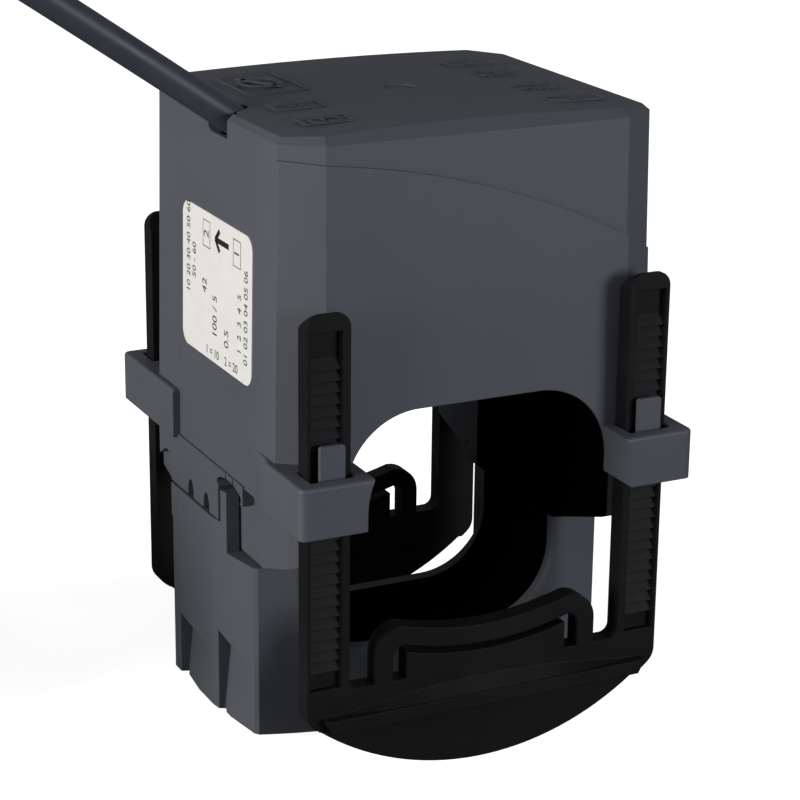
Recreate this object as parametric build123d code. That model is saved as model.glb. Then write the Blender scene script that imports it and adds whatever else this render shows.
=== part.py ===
from build123d import *
import math
import os

# Split-core current transformer for a round cable, standing on its closing part.
# X runs across the cable window, Y runs along the cable, Z is up. Sizes are in millimetres.
# X = 0 and Y = 0 are the middle planes of the upper housing, Z = 0 is the lowest line of the base.

# Cable window
window_width = 42.5
window_height = 42.5
window_corner = 11.5
window_floor = 13.6
# Black insulating liners in the window
liner_thickness = 0.8
liner_gap = 0.02
lip_depth = 0.7
liner_floor_back = 8.0
liner_wall_back = 10.2
# Upper housing
housing_width = 60.8
housing_depth = 55.2
front_cut_x = 6.2
front_cut_y = 4.3
rear_cut_x = 5.0
rear_cut_y = 5.8
draft_angle = 1.0
wall = 1.6
window_wall = 1.4
belt_width = 63.0
belt_bottom = 42.0
belt_height = 7.6
belt_reach = 0.3
belt_flush_front = -14.0
belt_proud_front = -25.0
belt_sink = 0.2
belt_edge = 0.5
shoulder_drop = 1.5
crown_radius = 520.0
crown_tilt = 0.5
bevel_angle = 48.0
seam_y = 13.0
joint_line = 0.02
gate_radius = 2.4
gate_depth = 0.25
# Arc-shaped step in the front face
step_depth = 0.4
step_left = 92.9
step_middle = 87.5
step_right = 73.4
# Lugs that guide the clamping brackets
arm_gap = 0.54
slot_side_gap = 0.2
slot_front_room = 1.76
slot_front_wall = 2.1
slot_back_gap = 0.3
lug_corner = 1.1
# Legs of the upper housing below the belt
leg_inset = 1.5
apron_end_gap = 0.4
apron_tip = 34.5
apron_slope = 19.0
apron_cut = 2.6
apron_corner = 2.2
skirt_width = 61.6
skirt_bottom = 34.1
skirt_root = 0.2
skirt_front_y = -3.2
skirt_back_y = 20.8
notch_top = 39.4
ear_recess_width = 4.9
ear_recess_top = 38.5
ear_recess_slant = 2.2
ear_recess_depth = 1.1
# Tool openings in the skirt
moon_places = (7.8, 1.5)
moon_height = 2.7
moon_half_width = 1.2
pit_y = -7.4
pit_half_length = 4.6
pit_half_height = 1.5
pit_depth = 3.8
rib_line_places = (-8.9, -6.3)
rib_line_half = 0.25
rib_line_height = 3.4
rib_line_depth = 0.9
# Closing part
lower_front_y = -12.6
lower_back_y = 15.6
lower_width = 62.0
lower_front_width = 57.8
ridge_y = -0.8
lower_top = 29.3
lower_seam_y = 13.6
base_radius = 165.0
part_gap = 0.3
finger_front_y = -5.0
finger_gap = 0.2
finger_drop = 0.5
window_edge = 1.2
flare_start = 10.2
flare_width = 44.6
flare_floor = 10.2
flare_corner = 5.5
scoop_depth = 2.0
scoop_end_depth = 0.6
scoop_lean = 6.0
scoop_groove = 0.4
scoop_groove_length = 1.4
# Each scoop: its steep rear end, its front end, and its height at both
scoops = ((12.65, 1.4, 13.0, 11.8), (-2.4, -10.0, 16.0, 13.2))
# Core, coil and small inner pieces
core_strip = 4.0
coil_side_room = 17.6
core_y = -0.5
core_gap = 0.25
core_split = 33.5
pole_gap = 0.1
coil_room_below = 5.15
coil_room_above = 7.9
core_outer_corner = 6.0
bobbin_wall = 1.0
bobbin_end_room = 2.7
flange_thickness = 1.4
flange_rim = 1.0
coil_build = 8.0
coil_corner = 4.0
tape_thickness = 0.4
tape_end_gap = 1.0
fit_gap = 0.1
spring_half = 20.0
spring_thickness = 0.4
spring_width = 14.0
# Clamping brackets
arm_inner = 22.2
arm_width = 6.6
arm_thickness = 3.0
arm_top = 73.0
arm_tip_round = 2.2
arm_tip_slope = 2.4
arm_root_round = 1.5
plate_top = 16.5
plate_bottom = 1.3
plate_radius = 43.0
plate_corner = 3.0
outer_ridge = 0.5
inner_ridge = 1.2
channel_depth = 1.1
channel_bottom = 17.2
channel_top_gap = 2.6
tooth_pitch = 1.67
tooth_height = 0.75
tooth_lip = 0.12
tooth_count = 28
first_tooth = 66.4
rail_half = 18.0
rail_top = 24.9
rail_dip = 2.0
rail_dip_half = 13.6
rail_thickness = 2.9
rail_slot = 1.1
rail_slot_side = 2.3
rail_slot_corner = 2.0
post_width = 2.7
rail_corner = 4.2
rib_reach = 1.7
rib_bottom = 10.7
rib_front_height = 2.1
rib_rise = 2.0
rib_end_gap = 2.5
rib_end_slant = 1.1
rib_slope_drop = 0.6
lower_plate_thickness = 1.7
# Ratchet pawls
pawl_width = 3.8
pawl_side_gap = 0.15
pawl_front_gap = 0.5
pawl_thickness = 0.8
pawl_rise = 4.8
pawl_foot_rise = 1.2
pivot_depth = 2.3
pivot_radius = 0.6
pivot_clearance = 0.05
pivot_reach = 0.45
hook_gap = 0.21
hook_height = 0.9
pawl_edge = 0.5
# Rating label
label_width = 26.4
label_height = 22.0
label_y = -1.8
label_z = 69.0
label_thickness = 0.15
label_corner = 2.2
# Lead
lead_diameter = 4.5
lead_rise = 35.0
lead_inset = 4.2
lead_depth = 2.9
lead_y = -1.5
lead_inside = 9.0
lead_gap = 0.35
lead_notch_front = 3.7
lead_notch_back = 3.6
lead_notch_depth = 4.2
lead_notch_inner = 3.0
lead_notch_round = 1.4
clamp_size = 10.4
clamp_length = 8.0
clamp_start = 1.2
wire_diameter = 1.8
wire_spread = 0.3
wire_length = 30.0
sleeve_length = 7.0
sleeve_wall_step = 0.2
coil_inner_lane = 19.5
coil_outer_lane = 28.5
coil_layers = 8
coil_turns = 17.75
coil_centre = (-90.5, 35.5)
coil_gap = 0.15
tail_start = 8.0
tail_length = 25.0
tie_width = 3.0
tie_thickness = 0.6
tie_gap = 0.1
crimp_radius = 1.7
crimp_length = 9.0
crimp_x = -7.0
crimp_y = 3.0

# Values worked out from the sizes above
half_window = window_width / 2
half_belt = belt_width / 2
belt_top = belt_bottom + belt_height
half_depth = housing_depth / 2
half_house = housing_width / 2
half_lower = lower_width / 2
half_skirt = skirt_width / 2
core_depth = housing_depth - 2 * coil_side_room
flange_half = core_strip / 2 + fit_gap + bobbin_wall + coil_build + flange_rim
coil_middle = window_floor + window_height + window_wall + coil_room_below + flange_half
crown_height = coil_middle + flange_half + coil_room_above + wall
shoulder_height = crown_height - shoulder_drop
core_inner = half_window + window_wall + core_gap
core_outer = core_inner + core_strip
core_front_y = core_y - core_depth / 2
core_back_y = core_y + core_depth / 2
yoke_top = coil_middle + core_strip / 2
liner_foot = lower_top + part_gap + liner_gap / 2
bobbin_length = 2 * (half_window - bobbin_end_room)
pocket_inner = half_window + window_wall
pocket_outer = core_outer + core_gap
arm_outer = arm_inner + arm_width
arm_back_y = half_depth + arm_gap
arm_front_y = arm_back_y + arm_thickness
slot_front_y = arm_front_y + slot_front_room
lug_reach = slot_front_y + slot_front_wall
pawl_tip = belt_top + pawl_rise
pawl_foot = belt_bottom + pawl_foot_rise
pivot_height = belt_top - pivot_depth
lead_exit = (-(half_house - lead_inset), lead_y, crown_height - lead_depth)
tan_draft = math.tan(math.radians(draft_angle))
# Larger than anything in the part, for cuts that run right through
reach = 400.0


def block(x0, x1, y0, y1, z0, z1):
    """A box given by its six sides."""
    return Pos((x0 + x1) / 2, (y0 + y1) / 2, (z0 + z1) / 2) * Box(x1 - x0, y1 - y0, z1 - z0)


def save(shape, node):
    """Write one piece."""
    export_step(shape, "parts/" + node + ".step")


def profile_along_x(points, x0, x1):
    """Extrude a closed Y-Z outline from one X plane to another."""
    face = Plane.YZ * make_face(Polyline(*points, close=True))
    return Pos(x0, 0, 0) * extrude(face, amount=x1 - x0, dir=(1, 0, 0))


def profile_along_y(face, y0, y1):
    """Extrude an X-Z outline from one Y plane to another."""
    return Pos(0, y0, 0) * extrude(Plane.XZ * face, amount=y1 - y0, dir=(0, 1, 0))


def upright(face, z0, z1):
    """Extrude a plan from one height to another."""
    return Pos(0, 0, z0) * extrude(face, amount=z1 - z0, dir=(0, 0, 1))


def mirrored(shape):
    """A piece of the right side together with its copy on the left."""
    return shape + mirror(shape, Plane.YZ)


def corner_cut(cut_x, cut_y, inset_x, inset_y):
    """Where an inset corner cut ends, measured along X and Y from the corner that isn't inset."""
    lean = math.hypot(1 / cut_x, 1 / cut_y)
    along_x = cut_x * (1 + inset_y * lean - inset_y / cut_y)
    along_y = cut_y * (1 + inset_y * lean - inset_x / cut_x)
    return along_x, along_y


def body_plan(inset, front_inset):
    """Plan of the upper housing: a rectangle with cut corners, the front set back by its own inset."""
    left = -half_house + inset
    front = -half_depth + inset + front_inset
    back = half_depth - inset
    front_x, front_y = corner_cut(front_cut_x, front_cut_y, inset, inset + front_inset)
    back_x, back_y = corner_cut(rear_cut_x, rear_cut_y, inset, inset)
    half = [(left, -half_depth + front_y), (-half_house + front_x, front)]
    rear = [(half_house - back_x, back), (-half_house + back_x, back), (left, half_depth - back_y)]
    return Polygon(*half, (half_house - front_x, front), (-left, -half_depth + front_y),
                   (-left, half_depth - back_y), *rear, align=None)


def body_form(inset, front_inset, base, top_cut):
    """The drafted body with its bevelled shoulder and slightly crowned top."""
    sides = extrude(Plane.XY.offset(base) * body_plan(inset, front_inset),
                    amount=shoulder_height - top_cut - base, taper=draft_angle, dir=(0, 0, 1))
    rim = sides.faces().sort_by(Axis.Z)[-1]
    shoulder = extrude(rim, amount=crown_height - shoulder_height + crown_rise(), taper=bevel_angle)
    middle = Pos(0, 0, crown_height - top_cut - crown_radius)
    crown = middle * Rot(90 - crown_tilt, 0, 0) * Cylinder(crown_radius, reach)
    return (sides + shoulder) & crown


def crown_rise():
    """How much higher the front end of the tilted crown is than its middle, with a little to spare."""
    return half_depth * math.tan(math.radians(crown_tilt)) + 0.1


def window_prism(grow, y0, y1):
    """The cable window, grown by a wall thickness, between two planes along the cable."""
    face = RectangleRounded(window_width + 2 * grow, window_height + 2 * grow, window_corner + grow)
    return profile_along_y(Pos(0, window_floor + window_height / 2) * face, y0, y1)


def upper_liner_space(gap):
    """Side view of the upper liner, as a block across the part, with a gap all round."""
    front = -half_depth + lip_depth - gap
    foot = liner_foot - gap
    rise = (lower_front_y - front) * math.tan(math.radians(apron_slope))
    points = [(front, reach), (front, foot + rise), (lower_front_y, foot),
              (seam_y - joint_line, foot), (seam_y - joint_line, reach)]
    return profile_along_x(points, -reach, reach)


def lower_liner_space(gap):
    """Side view of the lower liner: its rear end leans with the floor's slope behind it."""
    front = lower_front_y + lip_depth + window_edge - gap
    top = lower_top + gap
    points = [(front, 0), (liner_floor_back + gap, 0), (liner_floor_back + gap, window_floor),
              (liner_wall_back + gap, window_floor + window_corner), (liner_wall_back + gap, top),
              (front, top)]
    return profile_along_x(points, -reach, reach)


def make_liners():
    """The two black liners that insulate the cable window."""
    tube = window_prism(liner_thickness, -reach / 2, reach / 2) - window_prism(0, -reach / 2, reach / 2)
    lower_half = block(-reach, reach, -reach, reach, 0, window_floor + window_height / 2)
    return tube & upper_liner_space(0), tube & lower_liner_space(0) & lower_half


def apron(front):
    """One hollow leg tab below the belt, cut on a slope along its foot."""
    y_out = half_depth - leg_inset / 2
    inner_y = -lower_front_y if front else lower_back_y
    y_in = inner_y + apron_end_gap
    foot = math.tan(math.radians(apron_slope)) * (y_out - y_in)
    x_out = half_house - leg_inset
    side = Polygon((y_out, belt_bottom + belt_edge), (y_in, belt_bottom + belt_edge),
                   (y_in, apron_tip - foot), (y_out, apron_tip), align=None)
    low = side.vertices().sort_by(Axis.Y)[0]
    side = fillet(low, apron_corner)
    solid = Pos(half_window, 0, 0) * extrude(Plane.YZ * side, amount=x_out - half_window, dir=(1, 0, 0))
    plan = Rectangle(reach, reach, align=(Align.MAX, Align.MAX))
    plan = chamfer(plan.vertices().sort_by(Axis.X)[-2:].sort_by(Axis.Y)[-1], apron_cut)
    solid = solid & upright(Pos(x_out, y_out) * plan, 0, reach)
    pocket = block(pocket_inner, x_out - wall, y_in + wall, y_out - wall, 0, belt_bottom)
    solid = solid - pocket
    return mirror(solid, Plane.XZ) if front else solid


def half_ellipse_cut(y, z, half_height, half_length, depth):
    """An elliptic hole sunk into the side face on the right."""
    face = Plane.YZ * (Pos(y, z) * Ellipse(half_length, half_height))
    return Pos(half_belt - depth, 0, 0) * extrude(face, amount=2 * depth, dir=(1, 0, 0))


def side_release_cuts():
    """Tool openings in the right skirt: two half-moon slots, a wide pit above the notch and an ear recess."""
    cuts = [half_ellipse_cut(y, skirt_bottom, moon_height, moon_half_width, pit_depth) for y in moon_places]
    cuts.append(half_ellipse_cut(pit_y, notch_top + pit_half_height / 2, pit_half_height, pit_half_length,
                                 pit_depth))
    for y in rib_line_places:
        cuts.append(block(half_belt - rib_line_depth, half_belt + 1, y - rib_line_half, y + rib_line_half,
                          notch_top, notch_top + rib_line_height))
    back = skirt_back_y
    front = back - ear_recess_width
    middle = (front + back) / 2
    ear = [(front, skirt_bottom - 1), (back + 1, skirt_bottom - 1),
           (back + 1, ear_recess_top - ear_recess_slant), (middle, ear_recess_top), (front, ear_recess_top)]
    cuts.append(profile_along_x(ear, half_skirt - ear_recess_depth, half_belt + 1))
    return cuts


def make_lug():
    """The rear right lug, square with rounded outer edges."""
    lug = block(window_corner, half_belt, half_depth - rear_cut_y, lug_reach, belt_bottom, belt_top)
    lug = fillet(lug.edges().filter_by(Axis.Z).group_by(SortBy.DISTANCE)[-1], lug_corner)
    return fillet(lug.edges().group_by(Axis.Z)[-1], belt_edge)


def arm_slot():
    """Slot for the rear right bracket arm, with the bore for the pawl's pivots."""
    slot = block(arm_inner - slot_side_gap, arm_outer + slot_side_gap, arm_back_y - slot_back_gap,
                 slot_front_y, belt_bottom - 1, belt_top + 1)
    bore = Pos((arm_inner + arm_outer) / 2, pawl_pivot_y(), pivot_height) * Rot(0, 90, 0) * Cylinder(
        pivot_radius + pivot_clearance, arm_width + 2 * (slot_side_gap + pivot_reach + part_gap / 2))
    return slot + bore


def four_corners(shape):
    """A piece of the rear right corner at all four corners."""
    both = mirrored(shape)
    return both + mirror(both, Plane.XZ)


def make_upper():
    """Both shells of the upper housing."""
    plain = body_form(0, step_depth, belt_bottom, 0)
    proud = body_form(0, 0, belt_bottom, 0)
    x_side = half_house + 1.0
    arc = ThreePointArc((-x_side, step_left), (0, step_middle), (x_side, step_right))
    below = make_face(arc + Polyline((x_side, step_right), (x_side, 0), (-x_side, 0), (-x_side, step_left)))
    proud = proud & profile_along_y(below, -reach / 2, -half_depth + front_cut_y + 1.0)
    outer = plain + proud
    # The belt and the four lugs
    belt_face = chamfer(Rectangle(belt_width, housing_depth + 2 * belt_reach).vertices(), rear_cut_x)
    flush = Polygon((half_house - belt_sink, seam_y), (half_belt + 1, seam_y),
                    (half_belt + 1, belt_proud_front), (half_belt, belt_proud_front),
                    (half_house - belt_sink, belt_flush_front), align=None)
    belt_face = belt_face - mirrored(flush)
    belt = upright(belt_face, belt_bottom, belt_top)
    outer = outer + fillet(belt.edges().group_by(Axis.Z)[-1], belt_edge)
    outer = outer + four_corners(make_lug())
    # Legs: sleeves round the core poles, tabs in front and behind, skirts outside
    leg_top = belt_bottom + belt_edge
    sleeve_y0 = lower_front_y - apron_end_gap
    sleeve_y1 = lower_back_y + apron_end_gap
    sleeve = block(half_window, half_house - leg_inset, sleeve_y0, sleeve_y1, lower_top + part_gap, leg_top)
    skirt_inner = half_house - leg_inset - skirt_root
    skirt = block(skirt_inner, half_skirt, skirt_front_y, skirt_back_y, skirt_bottom, leg_top)
    skirt = skirt + block(skirt_inner, half_skirt, lower_front_y, skirt_front_y, notch_top, leg_top)
    outer = outer + mirrored(sleeve) + mirrored(apron(True)) + mirrored(apron(False)) + mirrored(skirt)
    # The sleeves leave room for the raised ears of the closing part
    ear_inner = pocket_outer + ear_wall()
    ear_room = block(ear_inner, half_belt + 1, sleeve_y0, sleeve_y1, 0, skirt_bottom)
    front_notch = block(ear_inner, half_belt + 1, sleeve_y0, skirt_front_y, 0, notch_top)
    outer = outer - mirrored(ear_room) - mirrored(front_notch)
    # Inner space
    outer = outer - window_prism(0, -reach / 2, reach / 2)
    liner_room = window_prism(liner_thickness + liner_gap, -reach / 2, reach / 2)
    outer = outer - (liner_room & upper_liner_space(liner_gap))
    cavity = body_form(wall, step_depth, belt_bottom + wall, wall)
    outer = outer - (cavity - window_prism(window_wall, -reach / 2, reach / 2))
    pole_room = block(pocket_inner, pocket_outer, core_front_y - core_gap, core_back_y + core_gap,
                      0, belt_bottom + wall + 1)
    outer = outer - mirrored(pole_room)
    outer = outer - four_corners(arm_slot())
    outer = outer - lead_notch()
    for cut in side_release_cuts():
        outer = outer - mirrored(cut)
    # Mark of the mould gate on top
    outer = outer - Pos(0, 0, crown_height) * Cylinder(gate_radius, 2 * gate_depth)
    front = outer & block(-reach, reach, -reach, seam_y - joint_line, -1, reach)
    back = outer & block(-reach, reach, seam_y, reach, -1, reach)
    return front, back


def ear_wall():
    """Wall left between a core pole's pocket and the ear beside it."""
    return wall / 2 - fit_gap


def lead_notch():
    """Notch at the top of the left side, open upwards and outwards, and the slanting hole behind it."""
    floor = crown_height - lead_notch_depth
    y0 = lead_y - lead_notch_front
    y1 = lead_y + lead_notch_back
    notch = block(-half_house - 1, -half_house + lead_notch_inner, y0, y1, floor, reach)
    notch = fillet(notch.edges().filter_by(Axis.X).group_by(Axis.Z)[0].sort_by(Axis.Y)[-1], lead_notch_round)
    return notch + slanted(Cylinder(lead_diameter / 2 + lead_gap, 4 * lead_diameter))


def pawl_pivot_y():
    """Distance of a pawl's pivot from the middle plane."""
    return slot_front_y - pawl_front_gap - pawl_thickness / 2


def lower_plan():
    """Plan of the closing part: straight sides behind the ridge, tapered in front of it."""
    x = half_lower
    xf = lower_front_width / 2
    return Polygon((-xf, lower_front_y), (xf, lower_front_y), (x, ridge_y), (x, lower_back_y),
                   (-x, lower_back_y), (-x, ridge_y), align=None)


def rear_flare():
    """The rear end of the cable window, which widens and falls towards the rear face."""
    middle_z = window_floor + window_height / 2
    near = RectangleRounded(window_width, window_height, window_corner)
    far = RectangleRounded(flare_width, 2 * (middle_z - flare_floor), flare_corner)
    return loft([Plane.XZ.offset(-flare_start) * Pos(0, middle_z) * near,
                 Plane.XZ.offset(-lower_back_y) * Pos(0, middle_z) * far], ruled=True)


def side_surface(y):
    """How far the closing part's side stands from the middle plane."""
    taper = (half_lower - lower_front_width / 2) / (ridge_y - lower_front_y)
    return half_lower - max(0, ridge_y - y) * taper


def scoop(rear, front, rear_top, front_top):
    """One grip scooped out of the right side: a steep rear wall and a floor that rises to the front."""
    deep = side_surface(rear) - scoop_depth
    shallow = side_surface(front) - scoop_end_depth
    wedge = Polygon((half_lower + 1, rear), (deep, rear), (shallow, front), (half_lower + 1, front),
                    align=None)
    groove = Polygon((deep - scoop_groove, rear), (deep - scoop_groove, rear - scoop_groove_length),
                     (half_lower, rear - scoop_groove_length), (half_lower, rear), align=None)
    cut = upright(wedge + groove, -rear_top, rear_top)
    pivot = Pos(deep, 0, rear_top)
    cut = pivot * Rot(0, -scoop_lean, 0) * pivot.inverse() * cut
    side = [(rear, rear_top), (rear, -1), (front, -1), (front, front_top)]
    return cut & profile_along_x(side, 0, reach)


def make_lower():
    """Shell and rear cover of the closing part."""
    solid = upright(lower_plan(), 0, lower_top)
    window = window_prism(0, -reach / 2, reach / 2)
    open_top = block(-half_window, half_window, -reach, reach, window_floor + window_corner, reach)
    solid = solid - window - open_top
    # Rounded inner edges of the window
    rims = []
    for edge in solid.edges():
        middle = edge.center()
        on_face = abs(middle.Y - lower_front_y) < 0.01
        in_window = abs(middle.X) < half_window + 0.01 and middle.Z > window_floor - 0.01
        if on_face and in_window and middle.Z < lower_top - 0.01:
            rims.append(edge)
    solid = fillet(rims, window_edge)
    corners = [e for e in solid.edges().filter_by(Axis.Z) if abs(e.center().X) > half_window + 5]
    solid = chamfer([e for e in corners if abs(abs(e.center().X) - half_lower) > 0.1
                     or e.center().Y > lower_back_y - 0.1], belt_edge)
    base = profile_along_y(Pos(0, base_radius) * Circle(base_radius), -reach / 2, reach / 2)
    solid = solid & base
    ears = upright(lower_plan(), lower_top - 1, skirt_bottom - part_gap)
    ear_side = pocket_outer + ear_wall() + part_gap
    ears = ears & mirrored(block(ear_side, reach, finger_front_y, lower_back_y, 0, reach))
    # A finger at the front end of each ear stands in the notch of the upper housing
    finger = upright(lower_plan(), lower_top - 1, notch_top - finger_drop)
    finger = finger & mirrored(block(ear_side, reach, finger_front_y, skirt_front_y - finger_gap, 0, reach))
    solid = solid + ears + finger
    solid = solid - rear_flare()
    for rear, front, rear_top, front_top in scoops:
        solid = solid - mirrored(scoop(rear, front, rear_top, front_top))
    # Room for the core, open at the tops of the legs
    y0 = core_front_y - core_gap
    y1 = core_back_y + core_gap
    room = mirrored(block(pocket_inner, pocket_outer, y0, y1, window_floor, reach))
    floor_room = block(-pocket_outer, pocket_outer, y0, y1, 0, window_floor + window_corner)
    floor_room = floor_room - window_prism(window_wall, -reach / 2, reach / 2)
    inner_base = Pos(0, 0, wall) * base
    solid = solid - room - (floor_room & inner_base)
    liner_room = window_prism(liner_thickness + liner_gap, -reach / 2, reach / 2) - window
    solid = solid - (liner_room & lower_liner_space(liner_gap))
    front = solid & block(-reach, reach, -reach, lower_seam_y - joint_line, -1, reach)
    back = solid & block(-reach, reach, lower_seam_y, reach, -1, reach)
    return front, back


def make_bracket():
    """The front clamping bracket: two toothed arms, a plate with a push rib and a springy rail."""
    below = Align.MAX
    above = Align.MIN
    disc = Pos(0, plate_bottom + plate_radius) * Circle(plate_radius)
    full = Rectangle(2 * arm_outer, 2 * plate_radius, align=(Align.CENTER, above)) & disc
    full = full & Pos(0, plate_top) * Rectangle(reach, reach, align=(Align.CENTER, below))
    for side in (-1, 1):
        middle = side * (arm_inner + arm_outer) / 2
        full = full + Pos(middle, plate_top - 1) * Rectangle(arm_width, arm_top - plate_top + 1,
                                                             align=(Align.CENTER, above))
    corners = [v for v in full.vertices() if v.Y < plate_top - 0.5 and abs(abs(v.X) - arm_outer) < 0.01]
    full = fillet(corners, plate_corner)
    full = fillet([v for v in full.vertices() if v.Y > arm_top - 0.01], arm_tip_round)
    full = fillet([v for v in full.vertices() if abs(v.Y - plate_top) < 0.01], arm_root_round)
    foot = full & Pos(0, rib_bottom + belt_edge) * Rectangle(reach, reach, align=(Align.CENTER, below))
    full = full & Pos(0, rib_bottom) * Rectangle(reach, reach, align=(Align.CENTER, above))
    full = full + rail_outline()
    solid = profile_along_y(full, -arm_front_y, -arm_back_y)
    middle_y = -(arm_front_y + arm_back_y) / 2
    half_foot = lower_plate_thickness / 2
    solid = solid + profile_along_y(foot, middle_y - half_foot, middle_y + half_foot)
    solid = solid + push_rib()
    # The tips of the arms slope down towards the housing
    tips = [(-arm_back_y + 1, arm_top + 1), (-arm_back_y + 1, arm_top - arm_tip_slope - 1),
            (-arm_back_y - arm_tip_slope - 1, arm_top + 1)]
    solid = solid - profile_along_x(tips, -reach, reach)
    # Toothed channels in the arms
    x0 = arm_inner + inner_ridge
    x1 = arm_outer - outer_ridge
    channel = block(x0, x1, -arm_front_y - 1, -arm_front_y + channel_depth, channel_bottom,
                    arm_top - channel_top_gap)
    return solid - mirrored(channel - tooth_rack(x0, x1))


def tooth_rack(x0, x1):
    """Saw teeth standing on the floor of a channel."""
    floor = -arm_front_y + channel_depth
    bottom = first_tooth - tooth_count * tooth_pitch
    points = [(floor + tooth_lip, first_tooth)]
    for i in range(tooth_count):
        top = first_tooth - i * tooth_pitch
        points.append((floor, top))
        points.append((floor - tooth_height, top - tooth_pitch + tooth_lip))
        points.append((floor, top - tooth_pitch + tooth_lip / 2))
    points.append((floor + tooth_lip, bottom))
    return profile_along_x(points, x0, x1)


def rail_outline():
    """Springy rail on two posts above the plate, with the narrow slot under it."""
    dip_radius = (rail_dip_half ** 2 + rail_dip ** 2) / (2 * rail_dip)
    outer = Rectangle(2 * rail_half, rail_top - plate_top + 3, align=(Align.CENTER, Align.MAX))
    outer = Pos(0, rail_top) * outer
    outer = fillet([v for v in outer.vertices() if v.Y > rail_top - 0.01], rail_corner)
    outer = outer - Pos(0, rail_top - rail_dip + dip_radius) * Circle(dip_radius)
    inner_half = rail_half - post_width
    under = rail_top - rail_dip - rail_thickness
    height = under + rail_dip - plate_top
    slot = Pos(0, plate_top) * Rectangle(2 * inner_half, height, align=(Align.CENTER, Align.MIN))
    slot = fillet([v for v in slot.vertices() if v.Y > plate_top + 0.5], rail_slot_corner)
    slot = slot - Pos(0, under + dip_radius) * Circle(dip_radius)
    tongue_half = inner_half - rail_slot_side
    tongue = Pos(0, plate_top) * Rectangle(2 * tongue_half, height, align=(Align.CENTER, Align.MIN))
    tongue = tongue - Pos(0, under - rail_slot + dip_radius) * Circle(dip_radius)
    return outer - (slot - tongue)


def push_rib():
    """The ledge for the thumb: a straight front edge with a slope that ends in an arc on the plate."""
    half = arm_outer - rib_end_gap
    y_plate = -arm_front_y
    y_front = -arm_front_y - rib_reach
    z_edge = rib_bottom + rib_front_height
    low_half = half - rib_end_slant
    low = Polygon((-low_half, rib_bottom), (low_half, rib_bottom), (half, z_edge), (-half, z_edge),
                  align=None)
    ledge = profile_along_y(low, y_front, y_plate + belt_edge)
    z_low = z_edge - rib_slope_drop
    back = make_face(ThreePointArc((-half, z_low), (0, z_edge + rib_rise), (half, z_low))
                     + Line((half, z_low), (-half, z_low)))
    front = make_face(ThreePointArc((-half, z_low), (0, z_edge - rib_slope_drop / 2), (half, z_low))
                      + Line((half, z_low), (-half, z_low)))
    slope = loft([Plane.XZ.offset(-y_plate) * back, Plane.XZ.offset(-y_front) * front])
    return ledge + slope


def make_pawl():
    """Front right ratchet pawl: a small lever on two moulded pivots."""
    pivot_y = pawl_pivot_y()
    front = slot_front_y - pawl_front_gap
    back = front - pawl_thickness
    hook = arm_front_y - channel_depth + tooth_height + hook_gap
    side = [(front, pawl_tip), (front, pivot_height - pivot_radius), (front, pawl_foot), (back, pawl_foot),
            (hook, pawl_foot + hook_height / 2), (hook, pawl_foot + hook_height),
            (back, pawl_foot + 2 * hook_height), (back, pawl_tip)]
    x0 = arm_inner + inner_ridge + pawl_side_gap
    lever = profile_along_x(side, x0, x0 + pawl_width)
    tops = [e for e in lever.edges().filter_by(Axis.Y) if e.center().Z > pawl_tip - 0.01]
    lever = fillet(tops, pawl_edge)
    axle = Pos((arm_inner + arm_outer) / 2, pivot_y, pivot_height) * Rot(0, 90, 0) * Cylinder(
        pivot_radius, arm_width + 2 * (slot_side_gap + pivot_reach))
    return mirror(lever + axle, Plane.XZ)


def core_frame(z0, z1, corner):
    """Outline of the wound core between two heights, as a closed ring."""
    outer = Pos(0, (z0 + z1) / 2) * RectangleRounded(2 * core_outer, z1 - z0, corner)
    inner = Pos(0, (z0 + z1) / 2) * RectangleRounded(2 * core_inner, z1 - z0 - 2 * core_strip,
                                                     corner - core_strip)
    return outer - inner


def make_cores():
    """The two halves of the cut strip-wound core."""
    ring = core_frame(lower_core_bottom(), yoke_top, core_outer_corner)
    ring = profile_along_y(ring, core_front_y, core_back_y)
    upper = ring & block(-reach, reach, -reach, reach, core_split + pole_gap, reach)
    lower = ring & block(-reach, reach, -reach, reach, -reach, core_split)
    return upper, lower


def lower_core_bottom():
    """Underside of the lower yoke, just under the window wall."""
    return window_floor - window_wall - core_gap - core_strip


def across_yoke(face, half_length):
    """Extrude a Y-Z outline along the upper yoke, the same way to both sides of the middle."""
    tube = extrude(Plane.YZ * face, amount=half_length, both=True)
    return Pos(0, core_y, yoke_top - core_strip / 2) * tube


def ring_face(inner_y, inner_z, thickness, corner):
    """Section of a tube with a rectangular hole around the upper yoke."""
    outer = RectangleRounded(inner_y + 2 * thickness, inner_z + 2 * thickness, corner)
    return outer - Rectangle(inner_y, inner_z)


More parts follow.
